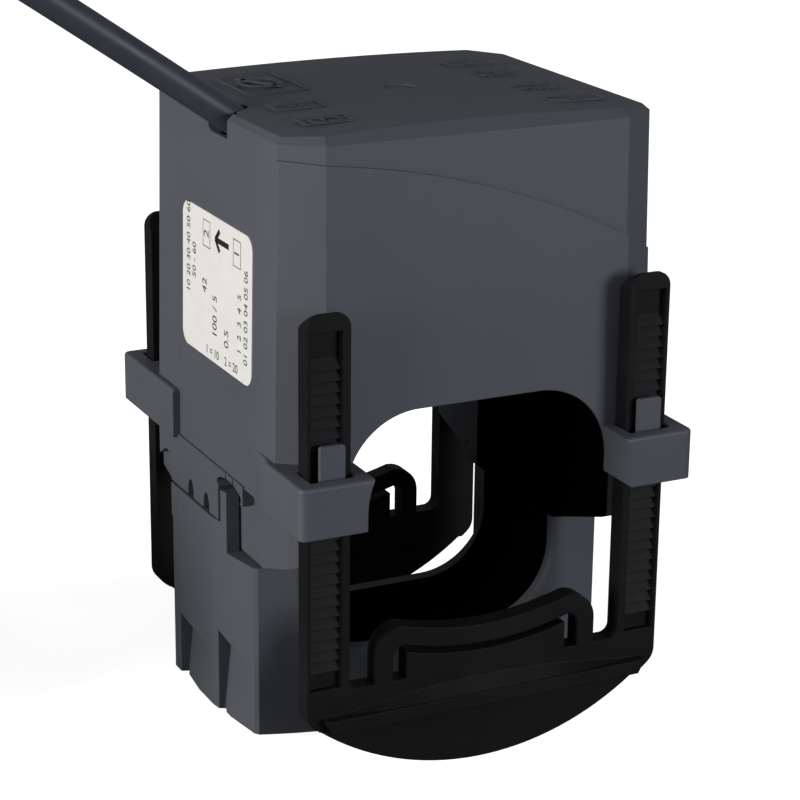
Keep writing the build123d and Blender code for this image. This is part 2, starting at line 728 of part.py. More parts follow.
def make_coil():
    """Bobbin halves, winding and tape on the upper yoke."""
    hole_y = core_depth + 2 * fit_gap
    hole_z = core_strip + 2 * fit_gap
    bobbin = across_yoke(ring_face(hole_y, hole_z, bobbin_wall, bobbin_wall), bobbin_length / 2)
    for x in (-1, 1):
        flange = across_yoke(ring_face(hole_y, hole_z, bobbin_wall + coil_build + flange_rim, coil_corner),
                             flange_thickness / 2)
        bobbin = bobbin + Pos(x * (bobbin_length - flange_thickness) / 2, 0, 0) * flange
    front = bobbin & block(-reach, reach, -reach, core_y - joint_line, -reach, reach)
    back = bobbin & block(-reach, reach, core_y, reach, -reach, reach)
    span = bobbin_length - 2 * flange_thickness - 2 * fit_gap
    winding_y = hole_y + 2 * (bobbin_wall + fit_gap)
    winding_z = hole_z + 2 * (bobbin_wall + fit_gap)
    build = coil_build - tape_thickness - 2 * fit_gap
    winding = across_yoke(ring_face(winding_y, winding_z, build, coil_corner - tape_thickness), span / 2)
    tape_outer = RectangleRounded(winding_y + 2 * coil_build, winding_z + 2 * coil_build, coil_corner)
    tape_inner = RectangleRounded(winding_y + 2 * (build + fit_gap), winding_z + 2 * (build + fit_gap),
                                  coil_corner - tape_thickness)
    return front, back, winding, across_yoke(tape_outer - tape_inner, span / 2 - tape_end_gap)


def make_spring():
    """Arched leaf spring between the base and the lower yoke."""
    top = lower_core_bottom() - fit_gap
    half = spring_half
    low = wall + half * half / (2 * base_radius) + 2 * fit_gap
    thickness = spring_thickness
    upper_arc = ThreePointArc((-half, low + thickness), (0, top), (half, low + thickness))
    lower_arc = ThreePointArc((-half, low), (0, top - thickness), (half, low))
    face = make_face(upper_arc + Line((half, low + thickness), (half, low)) + lower_arc
                     + Line((-half, low), (-half, low + thickness)))
    return profile_along_y(face, core_y - spring_width / 2, core_y + spring_width / 2)


def slanted(shape):
    """Turn a piece drawn along +Z so that it lies along the lead where it leaves the notch."""
    return Pos(*lead_exit) * Rot(0, -(90 - lead_rise), 0) * shape


def coil_top_layer():
    """Height of the middle of the coil's uppermost layer."""
    return tie_thickness + (coil_layers - 0.5) * lead_diameter


def lead_route():
    """Corner points of the stretch of lead between the notch and the coil."""
    lane_y = coil_centre[1] - coil_outer_lane
    z_in = coil_top_layer()
    return [lead_exit, (-52.4, -1.4, 111.9), (-78.5, -0.5, 129.4), (-103.0, 2.0, 130.5), (-125.5, 4.0, 114.5),
            (-137.5, 5.5, 91.0), (-140.0, 6.5, 71.0), (-137.0, lane_y, 56.5), (-129.5, lane_y, 42.0),
            (-116.5, lane_y, z_in), (-102.0, lane_y, z_in)]


def lead_tube():
    """The stretch of lead that isn't coiled, as straight runs with tangent arcs."""
    points = [Vector(*p) for p in lead_route()]
    radii = []
    for before, here, after in zip(points, points[1:], points[2:]):
        run = min((here - before).length, (after - here).length)
        turn = (here - before).get_angle(after - here)
        radii.append(0.45 * run / math.tan(math.radians(turn / 2)))
    print("lead radii", [round(r, 1) for r in radii])
    path = FilletPolyline(*points, radius=radii)
    start = Plane(origin=points[0], z_dir=points[1] - points[0])
    tube = sweep(start * Circle(lead_diameter / 2), path=path)
    print("lead length", round(path.length, 1), "volume ratio",
          round(tube.volume / (path.length * math.pi * lead_diameter ** 2 / 4), 4))
    return tube


def make_coil_of_lead():
    """The wound length of lead and the tie round it."""
    x, y = coil_centre
    inner = coil_inner_lane - lead_diameter / 2 - coil_gap
    width = coil_outer_lane + lead_diameter / 2 + coil_gap - inner
    height = coil_layers * lead_diameter
    ring = Circle(inner + width) - Circle(inner)
    coil = Pos(x, y, 0) * upright(ring, tie_thickness, tie_thickness + height)
    coil = fillet(coil.edges(), lead_diameter / 2 - tie_gap)
    print("coiled length", round(coil_turns * math.pi * (coil_inner_lane + coil_outer_lane), 1))
    tie_hole = RectangleRounded(width + 2 * tie_gap, height, lead_diameter / 2 - 2 * tie_gap)
    tie_face = RectangleRounded(width + 2 * (tie_gap + tie_thickness), height + 2 * tie_thickness,
                                lead_diameter / 2)
    band = extrude(Plane.YZ * (tie_face - tie_hole), amount=tie_width / 2, both=True)
    return coil, Pos(x, y + inner + width / 2, tie_thickness + height / 2) * band


def rod(start, end, radius):
    """A round rod between two points."""
    a = Vector(*start)
    b = Vector(*end)
    return Plane(origin=a, z_dir=b - a) * Cylinder(radius, (b - a).length,
                                                   align=(Align.CENTER, Align.CENTER, Align.MIN))


def make_tail():
    """Jacket end lying beside the coil, with two wires and their end sleeves."""
    r = lead_diameter / 2
    lane = coil_centre[0] - coil_outer_lane
    start_y = coil_centre[1] - tail_start
    end_y = start_y - tail_length
    tail = rod((lane, start_y, r), (lane, end_y, r), r)
    wires = []
    sleeves = []
    for side in (-1, 1):
        wire_x = lane + side * (wire_diameter / 2 + wire_spread)
        tip_y = end_y - wire_length
        wires.append(rod((wire_x, end_y, r), (wire_x, tip_y, r), wire_diameter / 2))
        sleeves.append(rod((wire_x, tip_y, r), (wire_x, tip_y - sleeve_length, r),
                           wire_diameter / 2 - sleeve_wall_step))
    return tail, wires, sleeves


def make_clamp():
    """Insert in the notch that grips the lead, and the lead's end inside it."""
    r = lead_diameter / 2
    top = (Align.CENTER, Align.CENTER, Align.MAX)
    sleeve = Box(clamp_size, clamp_size, clamp_length, align=top) - Cylinder(r + joint_line, 4 * clamp_length)
    clamp = slanted(Pos(0, 0, -clamp_start) * sleeve)
    clamp = clamp & body_form(wall + fit_gap, step_depth, belt_bottom + wall, wall + fit_gap)
    return clamp, slanted(Pos(0, 0, -joint_line) * Cylinder(r, lead_inside, align=top))


def make_splices():
    """Crimp sleeves between winding and lead on top of the tape, and the wires that reach them."""
    z = yoke_top - core_strip / 2 + coil_height() / 2 + crimp_radius + fit_gap
    rise = math.radians(lead_rise)
    end_x = lead_exit[0] + lead_inside * math.cos(rise)
    end_z = lead_exit[2] - lead_inside * math.sin(rise)
    left = crimp_x - crimp_length / 2
    sleeves = []
    wires = []
    for side in (-1, 1):
        splice_y = lead_y + side * crimp_y
        sleeves.append(rod((left, splice_y, z), (left + crimp_length, splice_y, z), crimp_radius))
        wires.append(rod((end_x, lead_y + side * (wire_diameter / 2 + fit_gap), end_z), (left, splice_y, z),
                         wire_diameter / 2))
    return sleeves, wires


def coil_height():
    """Height of the taped winding."""
    return core_strip + 2 * (2 * fit_gap + bobbin_wall + coil_build)


def make_label():
    """Thin plastic label on the left face, following the draft."""
    plate = upright(RectangleRounded(label_width, label_height, label_corner), 0, label_thickness)
    x = -(half_house - (label_z - belt_bottom) * tan_draft)
    return Pos(x, label_y, label_z) * Rot(0, -90 + draft_angle, 0) * Rot(0, 0, 90) * plate


os.makedirs("parts", exist_ok=True)
upper_front, upper_back = make_upper()
save(upper_front, "upper_housing")
save(upper_back, "upper_rear_cover")
lower_front, lower_back = make_lower()
save(lower_front, "lower_housing")
save(lower_back, "lower_rear_cover")
upper_liner, lower_liner = make_liners()
save(upper_liner, "upper_window_liner")
save(lower_liner, "lower_window_liner")
front_bracket = make_bracket()
save(front_bracket, "front_bracket")
save(mirror(front_bracket, Plane.XZ), "rear_bracket")
pawl = make_pawl()
save(pawl, "pawl_front_right")
save(mirror(pawl, Plane.YZ), "pawl_front_left")
save(mirror(pawl, Plane.XZ), "pawl_rear_right")
save(mirror(mirror(pawl, Plane.XZ), Plane.YZ), "pawl_rear_left")
upper_core, lower_core = make_cores()
save(upper_core, "upper_core")
save(lower_core, "lower_core")
bobbin_front, bobbin_back, winding, tape = make_coil()
save(bobbin_front, "bobbin_front_half")
save(bobbin_back, "bobbin_rear_half")
save(winding, "secondary_winding")
save(tape, "winding_tape")
save(make_spring(), "core_spring")
clamp_piece, inner_end = make_clamp()
save(clamp_piece, "lead_clamp")
save(inner_end, "lead_inner_end")
crimps, inner_wires = make_splices()
save(Compound(crimps), "crimp_sleeves")
save(inner_wires[0], "inner_wire_brown")
save(inner_wires[1], "inner_wire_blue")
save(make_label(), "rating_label")
save(lead_tube(), "lead_tube")
lead_coil, coil_tie = make_coil_of_lead()
save(lead_coil, "lead_coil")
save(coil_tie, "coil_tie")
tail, wires, sleeves = make_tail()
save(tail, "lead_tail")
save(wires[0], "wire_brown")
save(wires[1], "wire_blue")
save(Compound(sleeves), "wire_end_sleeves")
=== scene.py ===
import bpy
import bmesh
import math
from mathutils import Matrix, Vector


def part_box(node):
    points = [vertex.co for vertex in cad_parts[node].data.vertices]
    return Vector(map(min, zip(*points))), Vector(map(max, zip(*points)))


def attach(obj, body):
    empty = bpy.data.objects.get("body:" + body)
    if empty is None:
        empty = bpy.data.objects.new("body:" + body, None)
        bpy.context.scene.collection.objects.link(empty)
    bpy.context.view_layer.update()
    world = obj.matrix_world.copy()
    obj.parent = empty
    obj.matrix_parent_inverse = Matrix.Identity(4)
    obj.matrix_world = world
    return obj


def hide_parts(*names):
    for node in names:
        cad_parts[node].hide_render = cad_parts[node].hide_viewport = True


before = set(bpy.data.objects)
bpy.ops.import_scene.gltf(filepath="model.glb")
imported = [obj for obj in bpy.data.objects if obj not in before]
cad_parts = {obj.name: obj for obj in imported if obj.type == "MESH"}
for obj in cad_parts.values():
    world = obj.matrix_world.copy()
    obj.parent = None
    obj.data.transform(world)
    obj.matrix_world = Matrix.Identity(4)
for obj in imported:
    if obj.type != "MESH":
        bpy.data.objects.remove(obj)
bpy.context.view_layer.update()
MM = 0.001

# Camera: a long lens in front of the left corner and a little above the part, held almost level.
# Its place and turn come from the part's own edges as the photograph shows them.
camera_place = Vector((-161.4, -327.9, 170.2)) * MM
camera_turn = math.radians(26.31)
camera_drop = math.radians(18.53)
camera_roll = math.radians(0.66)
camera_lens = 113.1
sensor_width = 36.0

ahead = Vector((math.sin(camera_turn) * math.cos(camera_drop), math.cos(camera_turn) * math.cos(camera_drop),
                -math.sin(camera_drop)))
level = Vector((math.cos(camera_turn), -math.sin(camera_turn), 0.0))
upright = level.cross(ahead)
to_right = math.cos(camera_roll) * level + math.sin(camera_roll) * upright
to_top = -math.sin(camera_roll) * level + math.cos(camera_roll) * upright
camera_data = bpy.data.cameras.new("camera")
camera_data.lens = camera_lens
camera_data.sensor_width = sensor_width
camera = bpy.data.objects.new("camera", camera_data)
camera_axes = Matrix((to_right, to_top, -ahead)).transposed().to_4x4()
camera.matrix_world = Matrix.Translation(camera_place) @ camera_axes
bpy.context.scene.collection.objects.link(camera)
bpy.context.scene.camera = camera

# Lead: a round two-core cable with a soft vinyl jacket, clamped in the notch at the top left.
# It rises out of the notch, arches over and runs into a tied coil that lies on the floor.
lead_diameter = 4.5 * MM
lead_exit = Vector((-26.2, -1.5, 93.45)) * MM
coil_centre = Vector((-90.5, 35.5, 0.0)) * MM
coil_inner_lane = 19.5 * MM
coil_outer_lane = 28.5 * MM
coil_layers = 8
turns_per_layer = 2.0
turns_between_layers = 0.25
points_per_turn = 20
tie_thickness = 0.6 * MM
tail_start = 8.0 * MM
tail_length = 25.0 * MM
jacket_colour = (0.034, 0.040, 0.055, 1.0)
jacket_rubbed = (0.041, 0.047, 0.062, 1.0)
jacket_patches = 160.0
jacket_specks = 2600.0


class Value:
    """A shader socket that takes part in Python sums, so that a mask reads as a formula."""

    def __init__(self, tree, socket):
        self.tree = tree
        self.socket = socket

    def maths(self, operation, *inputs):
        """One Math node over values and plain numbers."""
        node = self.tree.nodes.new("ShaderNodeMath")
        node.operation = operation
        for place, given in enumerate(inputs):
            plug(self.tree, node.inputs[place], given)
        return Value(self.tree, node.outputs[0])

    def __add__(self, other):
        return self.maths("ADD", self, other)

    def __radd__(self, other):
        return self.maths("ADD", other, self)

    def __sub__(self, other):
        return self.maths("SUBTRACT", self, other)

    def __rsub__(self, other):
        return self.maths("SUBTRACT", other, self)

    def __mul__(self, other):
        return self.maths("MULTIPLY", self, other)

    def __rmul__(self, other):
        return self.maths("MULTIPLY", other, self)

    def __truediv__(self, other):
        return self.maths("DIVIDE", self, other)

    def between(self, low, high):
        """0 at low, 1 at high and held outside."""
        node = self.tree.nodes.new("ShaderNodeMapRange")
        plug(self.tree, node.inputs["Value"], self)
        node.inputs["From Min"].default_value = low
        node.inputs["From Max"].default_value = high
        return Value(self.tree, node.outputs["Result"])


def plug(tree, socket, given):
    """Join a value, a link or a plain number to a socket."""
    if isinstance(given, Value):
        tree.links.new(given.socket, socket)
    else:
        socket.default_value = given


class Finish:
    """One material with its shader and the nodes that feed it."""

    def __init__(self, name, colour, roughness, metallic=0.0, coat=0.0, shine=0.5):
        self.material = bpy.data.materials.new(name)
        self.material.use_nodes = True
        self.tree = self.material.node_tree
        self.shader = self.tree.nodes["Principled BSDF"]
        self.shader.inputs["Base Color"].default_value = colour
        self.shader.inputs["Roughness"].default_value = roughness
        self.shader.inputs["Metallic"].default_value = metallic
        self.shader.inputs["Coat Weight"].default_value = coat
        self.shader.inputs["Specular IOR Level"].default_value = shine

    def node(self, kind, settings=None, output=0, **inputs):
        """A node of any type, its settings and the values or links of its sockets."""
        node = self.tree.nodes.new(kind)
        for key, value in (settings or {}).items():
            setattr(node, key, value)
        for key, value in inputs.items():
            plug(self.tree, node.inputs[key.replace("_", " ")], value)
        return Value(self.tree, node.outputs[output])

    def place(self):
        """Object coordinates in metres, which are the part's own frame."""
        return self.node("ShaderNodeTexCoord", output="Object")

    def axis(self, name):
        """One of the three coordinates by its letter."""
        return self.node("ShaderNodeSeparateXYZ", output=name, Vector=self.place())

    def grain(self, count, detail=2.0):
        """Noise over the surface, from 0 to 1, with so many patches to a metre."""
        return self.node("ShaderNodeTexNoise", Vector=self.place(), Scale=count, Detail=detail)

    def mix(self, share, first, second):
        """A colour between two others."""
        node = self.tree.nodes.new("ShaderNodeMix")
        node.data_type = "RGBA"
        plug(self.tree, node.inputs["Factor"], share)
        plug(self.tree, node.inputs[6], first)
        plug(self.tree, node.inputs[7], second)
        return Value(self.tree, node.outputs[2])

    def eased(self, radius):
        """The surface's direction with its sharp edges eased by a small radius, as moulded edges are."""
        return self.node("ShaderNodeBevel", {"samples": 6}, Radius=radius)

    def bump(self, height, depth, strength=1.0, **more):
        """Relief of a given depth in metres."""
        return self.node("ShaderNodeBump", Height=height, Distance=depth, Strength=strength, **more)

    def feed(self, **inputs):
        """Join values or plain numbers to the shader's sockets."""
        for key, value in inputs.items():
            plug(self.tree, self.shader.inputs[key.replace("_", " ")], value)
        return self


def coil_points():
    """Control points of the coil, layer by layer from the top, in and out in turn."""
    points = []
    widen = 1.0 / math.cos(math.pi / points_per_turn)
    angle = -math.pi / 2
    step = 2 * math.pi / points_per_turn
    radius = coil_outer_lane
    height = tie_thickness + (coil_layers - 0.5) * lead_diameter
    for layer in range(coil_layers):
        steps = round(turns_per_layer * points_per_turn)
        target = coil_inner_lane if layer % 2 == 0 else coil_outer_lane
        stride = (target - radius) / steps
        for _ in range(steps):
            points.append((angle, radius, height))
            angle += step
            radius += stride
        if layer < coil_layers - 1:
            steps = round(turns_between_layers * points_per_turn)
            for _ in range(steps):
                points.append((angle, radius, height))
                angle += step
                height -= lead_diameter / steps
    points.append((angle, radius, height))
    return [coil_centre + Vector((math.cos(a) * r * widen, math.sin(a) * r * widen, z)) for a, r, z in points]


lane_y = (coil_centre.y - coil_outer_lane) / MM
top_layer = (tie_thickness + (coil_layers - 0.5) * lead_diameter) / MM
lead_route = [lead_exit] + [Vector(p) * MM for p in (
    (-52.4, -1.4, 111.9), (-78.5, -0.5, 129.4), (-103.0, 2.0, 130.5), (-125.5, 4.0, 114.5),
    (-137.5, 5.5, 91.0), (-140.0, 6.5, 71.0), (-137.0, lane_y, 56.5), (-129.5, lane_y, 42.0),
    (-116.5, lane_y, top_layer), (-102.0, lane_y, top_layer))]
tail_x = coil_centre.x - coil_outer_lane
tail_y = coil_centre.y - tail_start
tail_points = [Vector((tail_x, tail_y - share * tail_length, lead_diameter / 2)) for share in (0.0, 0.5, 1.0)]

lead_curve = bpy.data.curves.new("lead", "CURVE")
lead_curve.dimensions = "3D"
lead_curve.bevel_depth = lead_diameter / 2
lead_curve.bevel_resolution = 5
lead_curve.resolution_u = 6
lead_curve.use_fill_caps = True
lead_line = lead_curve.splines.new("NURBS")
all_points = lead_route + coil_points() + tail_points
lead_line.points.add(len(all_points) - 1)
for spot, point in zip(lead_line.points, all_points):
    spot.co = (*point, 1.0)
lead_line.order_u = 3
lead_line.use_endpoint_u = True
lead = bpy.data.objects.new("lead", lead_curve)
bpy.context.scene.collection.objects.link(lead)

jacket = Finish("lead_jacket", jacket_colour, 0.42, shine=0.35)
jacket_cloud = jacket.grain(jacket_patches, 3.0)
jacket_speck = jacket.grain(jacket_specks)
jacket.feed(Base_Color=jacket.mix(jacket_cloud.between(0.35, 0.7), jacket_colour, jacket_rubbed),
            Roughness=0.38 + 0.16 * jacket_cloud,
            Normal=jacket.bump(jacket_speck, 0.02 * MM, 0.6))
lead_curve.materials.append(jacket.material)
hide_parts("lead_tube", "lead_coil", "lead_tail")
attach(lead, "housing")


def dress(finish, *nodes):
    """Give solids that keep their shape a finish of their own."""
    for node in nodes:
        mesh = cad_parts[node].data
        mesh.materials.clear()
        mesh.materials.append(finish.material)


# Jacket end inside the notch and the rubber insert that grips it: the insert fills the notch behind
# the slanting hole and is moulded in black rubber with a matt skin.
dress(jacket, "lead_inner_end")
rubber_colour = (0.012, 0.012, 0.013, 1.0)
rubber_specks = 3000.0

rubber = Finish("clamp_rubber", rubber_colour, 0.8, shine=0.2)
rubber_speck = rubber.grain(rubber_specks, 3.0)
rubber.feed(Roughness=0.72 + 0.16 * rubber_speck, Normal=rubber.bump(rubber_speck, 0.03 * MM, 0.7))
dress(rubber, "lead_clamp")

# Wires of the lead: copper strand in brown and blue vinyl, the same outside at the stripped end and
# inside on the way to the winding. The vinyl is smooth, with a faint waviness from the strand under it.
wire_colours = {"brown": (0.115, 0.042, 0.016, 1.0), "blue": (0.012, 0.075, 0.30, 1.0)}
strand_lay = 1500.0
vinyl_patches = 700.0
worn_share = 1.25

for tint, colour in wire_colours.items():
    vinyl = Finish("wire_vinyl_" + tint, colour, 0.35)
    ripple = vinyl.node("ShaderNodeTexWave", {"bands_direction": "DIAGONAL"}, Vector=vinyl.place(),
                        Scale=strand_lay, Distortion=0.5)
    worn = tuple(c * worn_share for c in colour[:3]) + (1.0,)
    vinyl.feed(Base_Color=vinyl.mix(vinyl.grain(vinyl_patches, 3.0).between(0.4, 0.7), colour, worn),
               Roughness=0.3 + 0.12 * ripple, Normal=vinyl.bump(ripple, 0.015 * MM, 0.4))
    dress(vinyl, "wire_" + tint, "inner_wire_" + tint)

# End sleeves and splices: thin tinned copper tube, pressed on the bare strand with a hand tool. The
# tool's bars show as shallow marks across, and the tin has dulled in patches.
tin_colour = (0.60, 0.60, 0.58, 1.0)
tin_dulled = (0.44, 0.43, 0.42, 1.0)
tin_patches = 900.0
bar_pitch = 0.7 * MM

tin = Finish("tinned_copper", tin_colour, 0.34, metallic=1.0)
tin_cloud = tin.grain(tin_patches, 4.0)
tin_bars = (tin.axis("Y") / bar_pitch).maths("FRACT").between(0.35, 0.65)
tin.feed(Base_Color=tin.mix(tin_cloud.between(0.35, 0.7), tin_colour, tin_dulled),
         Roughness=0.26 + 0.2 * tin_cloud, Normal=tin.bump(tin_bars, 0.04 * MM, 0.5))
dress(tin, "wire_end_sleeves", "crimp_sleeves")

# Coil tie: a flat band of soft black plastic, wrapped once round the stored turns and closed on
# itself. Fine ribs run across it.
tie_colour = (0.010, 0.010, 0.011, 1.0)
tie_specks = 1200.0
tie_rib_pitch = 0.8 * MM

tie = Finish("tie_plastic", tie_colour, 0.4)
tie_ribs = (tie.axis("Z") / tie_rib_pitch).maths("FRACT").between(0.3, 0.6)
tie.feed(Roughness=0.34 + 0.2 * tie.grain(tie_specks, 3.0), Normal=tie.bump(tie_ribs, 0.06 * MM, 0.6))
dress(tie, "coil_tie")

# Housing: four shells moulded in blue-grey plastic with a fine eroded grain, and pawls of the same
# plastic in the lugs. The rear covers meet the front shells in one plane, glued all round.
housing_colour = (0.067, 0.073, 0.088, 1.0)
housing_pale = (0.077, 0.083, 0.099, 1.0)
housing_patches = 38.0
housing_specks = 4200.0
moulded_edge = 0.25 * MM

housing = Finish("housing_plastic", housing_colour, 0.5, shine=0.3)
housing_cloud = housing.grain(housing_patches, 4.0)
housing_grain = housing.grain(housing_specks)
housing.feed(Base_Color=housing.mix(housing_cloud.between(0.3, 0.75), housing_colour, housing_pale),
             Roughness=0.46 + 0.14 * housing_cloud,
             Normal=housing.bump(housing_grain, 0.02 * MM, 0.45, Normal=housing.eased(moulded_edge)))
dress(housing, "upper_housing", "upper_rear_cover", "lower_housing", "lower_rear_cover")
dress(housing, *["pawl_" + end + "_" + side for end in ("front", "rear") for side in ("left", "right")])

# Window liners: thin near-black sheets laid into the shells' window walls so that they are flush with them,
# and make those walls show deep black. Their skin is matt and takes nearly all the light.
liner_colour = (0.001, 0.001, 0.0012, 1.0)
liner_specks = 2400.0

film = Finish("liner_film", liner_colour, 0.6, shine=0.0)
film_speck = film.grain(liner_specks, 3.0)
film.feed(Roughness=0.5 + 0.2 * film_speck, Normal=film.bump(film_speck, 0.01 * MM, 0.5))
dress(film, "upper_window_liner", "lower_window_liner")

# Brackets: one moulding each in black glass-filled plastic, pushed into the lugs from below. The skin
# shows the fibres as a fine grain and is paler where it has been rubbed.
bracket_colour = (0.0056, 0.0056, 0.0060, 1.0)
bracket_rubbed = (0.0088, 0.0088, 0.0093, 1.0)
bracket_patches = 70.0
bracket_specks = 3600.0
bracket_edge = 0.22 * MM

glass_filled = Finish("bracket_plastic", bracket_colour, 0.5, shine=0.12)
fibre = glass_filled.grain(bracket_specks)
rub = glass_filled.grain(bracket_patches, 4.0)
glass_filled.feed(Base_Color=glass_filled.mix(rub.between(0.45, 0.75), bracket_colour, bracket_rubbed),
                  Roughness=0.46 + 0.16 * rub,
                  Normal=glass_filled.bump(fibre, 0.02 * MM, 0.45, Normal=glass_filled.eased(bracket_edge)))
dress(glass_filled, "front_bracket", "rear_bracket")

# Core halves: thin grain-oriented strip wound into a ring, glued, lacquered and cut across the legs.
# The strip's edges show as fine lines that follow the ring round its corners.
strip_pitch = 0.3 * MM
core_corner = 6.0 * MM
steel_colour = (0.36, 0.37, 0.39, 1.0)
steel_line = (0.15, 0.15, 0.16, 1.0)
steel_patches = 500.0

upper_low, upper_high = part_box("upper_core")
lower_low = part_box("lower_core")[0]
ring_half = (upper_high[0] - upper_low[0]) / 2
ring_rise = (upper_high[2] - lower_low[2]) / 2
ring_middle = (upper_high[2] + lower_low[2]) / 2
steel = Finish("core_steel", steel_colour, 0.35, metallic=1.0)
past_side = steel.axis("X").maths("ABSOLUTE") - (ring_half - core_corner)
past_yoke = (steel.axis("Z") - ring_middle).maths("ABSOLUTE") - (ring_rise - core_corner)
corner_run = (past_side.maths("MAXIMUM", 0.0).maths("POWER", 2.0)
              + past_yoke.maths("MAXIMUM", 0.0).maths("POWER", 2.0)).maths("SQRT")
ring_depth = corner_run + past_side.maths("MAXIMUM", past_yoke).maths("MINIMUM", 0.0)
strip_edge = (ring_depth / strip_pitch).maths("FRACT").between(0.0, 0.35)
steel.feed(Base_Color=steel.mix(strip_edge, steel_line, steel_colour),
           Roughness=0.28 + 0.2 * steel.grain(steel_patches, 4.0),
           Normal=steel.bump(strip_edge, 0.02 * MM, 0.5))
dress(steel, "upper_core", "lower_core")

# Bobbin: two halves moulded in natural nylon, clipped round the upper yoke to carry the winding. The
# colour is uneven, as uncoloured nylon is.
nylon_colour = (0.52, 0.49, 0.42, 1.0)
nylon_pale = (0.60, 0.57, 0.50, 1.0)
nylon_patches = 120.0
nylon_specks = 3000.0

nylon = Finish("bobbin_nylon", nylon_colour, 0.45)
nylon_cloud = nylon.grain(nylon_patches, 4.0)
nylon.feed(Base_Color=nylon.mix(nylon_cloud.between(0.3, 0.7), nylon_colour, nylon_pale),
           Roughness=0.40 + 0.14 * nylon_cloud,
           Normal=nylon.bump(nylon.grain(nylon_specks), 0.02 * MM, 0.4, Normal=nylon.eased(moulded_edge)))
dress(nylon, "bobbin_front_half", "bobbin_rear_half")

# Winding: enamelled copper wire laid turn beside turn round the bobbin. Its outer layer is drawn turn
# by turn as closed loops along the yoke, over a plain body that stands for the layers below it.
wire_thickness = 0.5 * MM
wound_corner = 3.6 * MM
copper_colour = (0.50, 0.17, 0.055, 1.0)
copper_dark = (0.38, 0.11, 0.035, 1.0)
copper_patches = 400.0
wire_sides = 6
corner_steps = 5

copper = Finish("winding_enamel", copper_colour, 0.28, metallic=1.0, coat=0.4)
copper_cloud = copper.grain(copper_patches, 4.0)
copper.feed(Base_Color=copper.mix(copper_cloud.between(0.3, 0.7), copper_colour, copper_dark))


class Growth:
    """A Geometry Nodes tree with its inputs, built node by node and then turned into a plain mesh."""

    def __init__(self, name):
        self.tree = bpy.data.node_groups.new(name, "GeometryNodeTree")
        self.tree.interface.new_socket("Geometry", in_out="OUTPUT", socket_type="NodeSocketGeometry")
        self.named = {}
        self.given = {}
        self.source = None

    def ask(self, name, kind, value):
        """A named input of the tree and the value that it gets."""
        self.named[name] = self.tree.interface.new_socket(name, in_out="INPUT", socket_type=kind)
        self.given[name] = value

    def take(self, name):
        """The socket of a named input."""
        if self.source is None:
            self.source = self.tree.nodes.new("NodeGroupInput")
        return Value(self.tree, self.source.outputs[name])

    def node(self, kind, settings=None, output=0, **inputs):
        """A node of any type, its settings and the values or links of its sockets."""
        node = self.tree.nodes.new(kind)
        for key, value in (settings or {}).items():
            setattr(node, key, value)
        for key, value in inputs.items():
            plug(self.tree, node.inputs[key.replace("_", " ")], value)
        return Value(self.tree, node.outputs[output])

    def grow(self, name, shape, finish):
        """Close the tree with a finish and return the grown piece."""
        real = self.node("GeometryNodeRealizeInstances", Geometry=shape)
        dressed = self.node("GeometryNodeSetMaterial", Geometry=real, Material=finish.material)
        leaving = self.tree.nodes.new("NodeGroupOutput")
        self.tree.links.new(dressed.socket, leaving.inputs["Geometry"])
        piece = bpy.data.objects.new(name, bpy.data.meshes.new(name))
        bpy.context.scene.collection.objects.link(piece)
        modifier = piece.modifiers.new("growth", "NODES")
        modifier.node_group = self.tree
        for key, value in self.given.items():
            modifier[self.named[key].identifier] = value
        graph = bpy.context.evaluated_depsgraph_get()
        grown = bpy.data.meshes.new_from_object(piece.evaluated_get(graph))
        piece.modifiers.remove(modifier)
        piece.data = grown
        return piece


winding_low, winding_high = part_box("secondary_winding")
winding_size = [high - low for low, high in zip(winding_low, winding_high)]
winding_middle = [(high + low) / 2 for low, high in zip(winding_low, winding_high)]
turn_count = int(winding_size[0] / wire_thickness)
turns = Growth("wound_turns")
turns.ask("Width", "NodeSocketFloat", winding_size[1] - wire_thickness)
turns.ask("Height", "NodeSocketFloat", winding_size[2] - wire_thickness)
turns.ask("Corner", "NodeSocketFloat", wound_corner - wire_thickness / 2)
turns.ask("Wire", "NodeSocketFloat", wire_thickness / 2)
turns.ask("Count", "NodeSocketInt", turn_count)
turns.ask("Pitch", "NodeSocketFloat", wire_thickness)
outline = turns.node("GeometryNodeCurvePrimitiveQuadrilateral", Width=turns.take("Width"),
                     Height=turns.take("Height"))
outline = turns.node("GeometryNodeFilletCurve", {"mode": "POLY"}, Curve=outline, Count=corner_steps,
                     Radius=turns.take("Corner"))
section = turns.node("GeometryNodeCurvePrimitiveCircle", Resolution=wire_sides,
                     Radius=turns.take("Wire"))
loop = turns.node("GeometryNodeCurveToMesh", Curve=outline, Profile_Curve=section)
step = turns.node("ShaderNodeCombineXYZ", Z=turns.take("Pitch"))
row = turns.node("GeometryNodeMeshLine", Count=turns.take("Count"), Offset=step)
laid = turns.node("GeometryNodeInstanceOnPoints", Points=row, Instance=loop)
winding = turns.grow("winding_turns", laid, copper)
along_yoke = Matrix(((0, 0, 1, 0), (1, 0, 0, 0), (0, 1, 0, 0), (0, 0, 0, 1)))
first_turn = winding_middle[0] - (turn_count - 1) * wire_thickness / 2
winding.data.transform(Matrix.Translation((first_turn, winding_middle[1], winding_middle[2])) @ along_yoke)
winding.data.polygons.foreach_set("use_smooth", [True] * len(winding.data.polygons))
under = bmesh.new()
under.from_mesh(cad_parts["secondary_winding"].data)
bmesh.ops.remove_doubles(under, verts=under.verts, dist=0.001 * MM)
for vertex in under.verts:
    for axis in (1, 2):
        side = vertex.co[axis] - winding_middle[axis]
        reach = winding_size[axis] / 2
        if abs(side) > reach - wound_corner:
            vertex.co[axis] = winding_middle[axis] + side * (1 - wire_thickness / reach / 2)
winding_under = bpy.data.meshes.new("winding_under")
under.to_mesh(winding_under)
under.free()
winding_under.materials.append(copper.material)
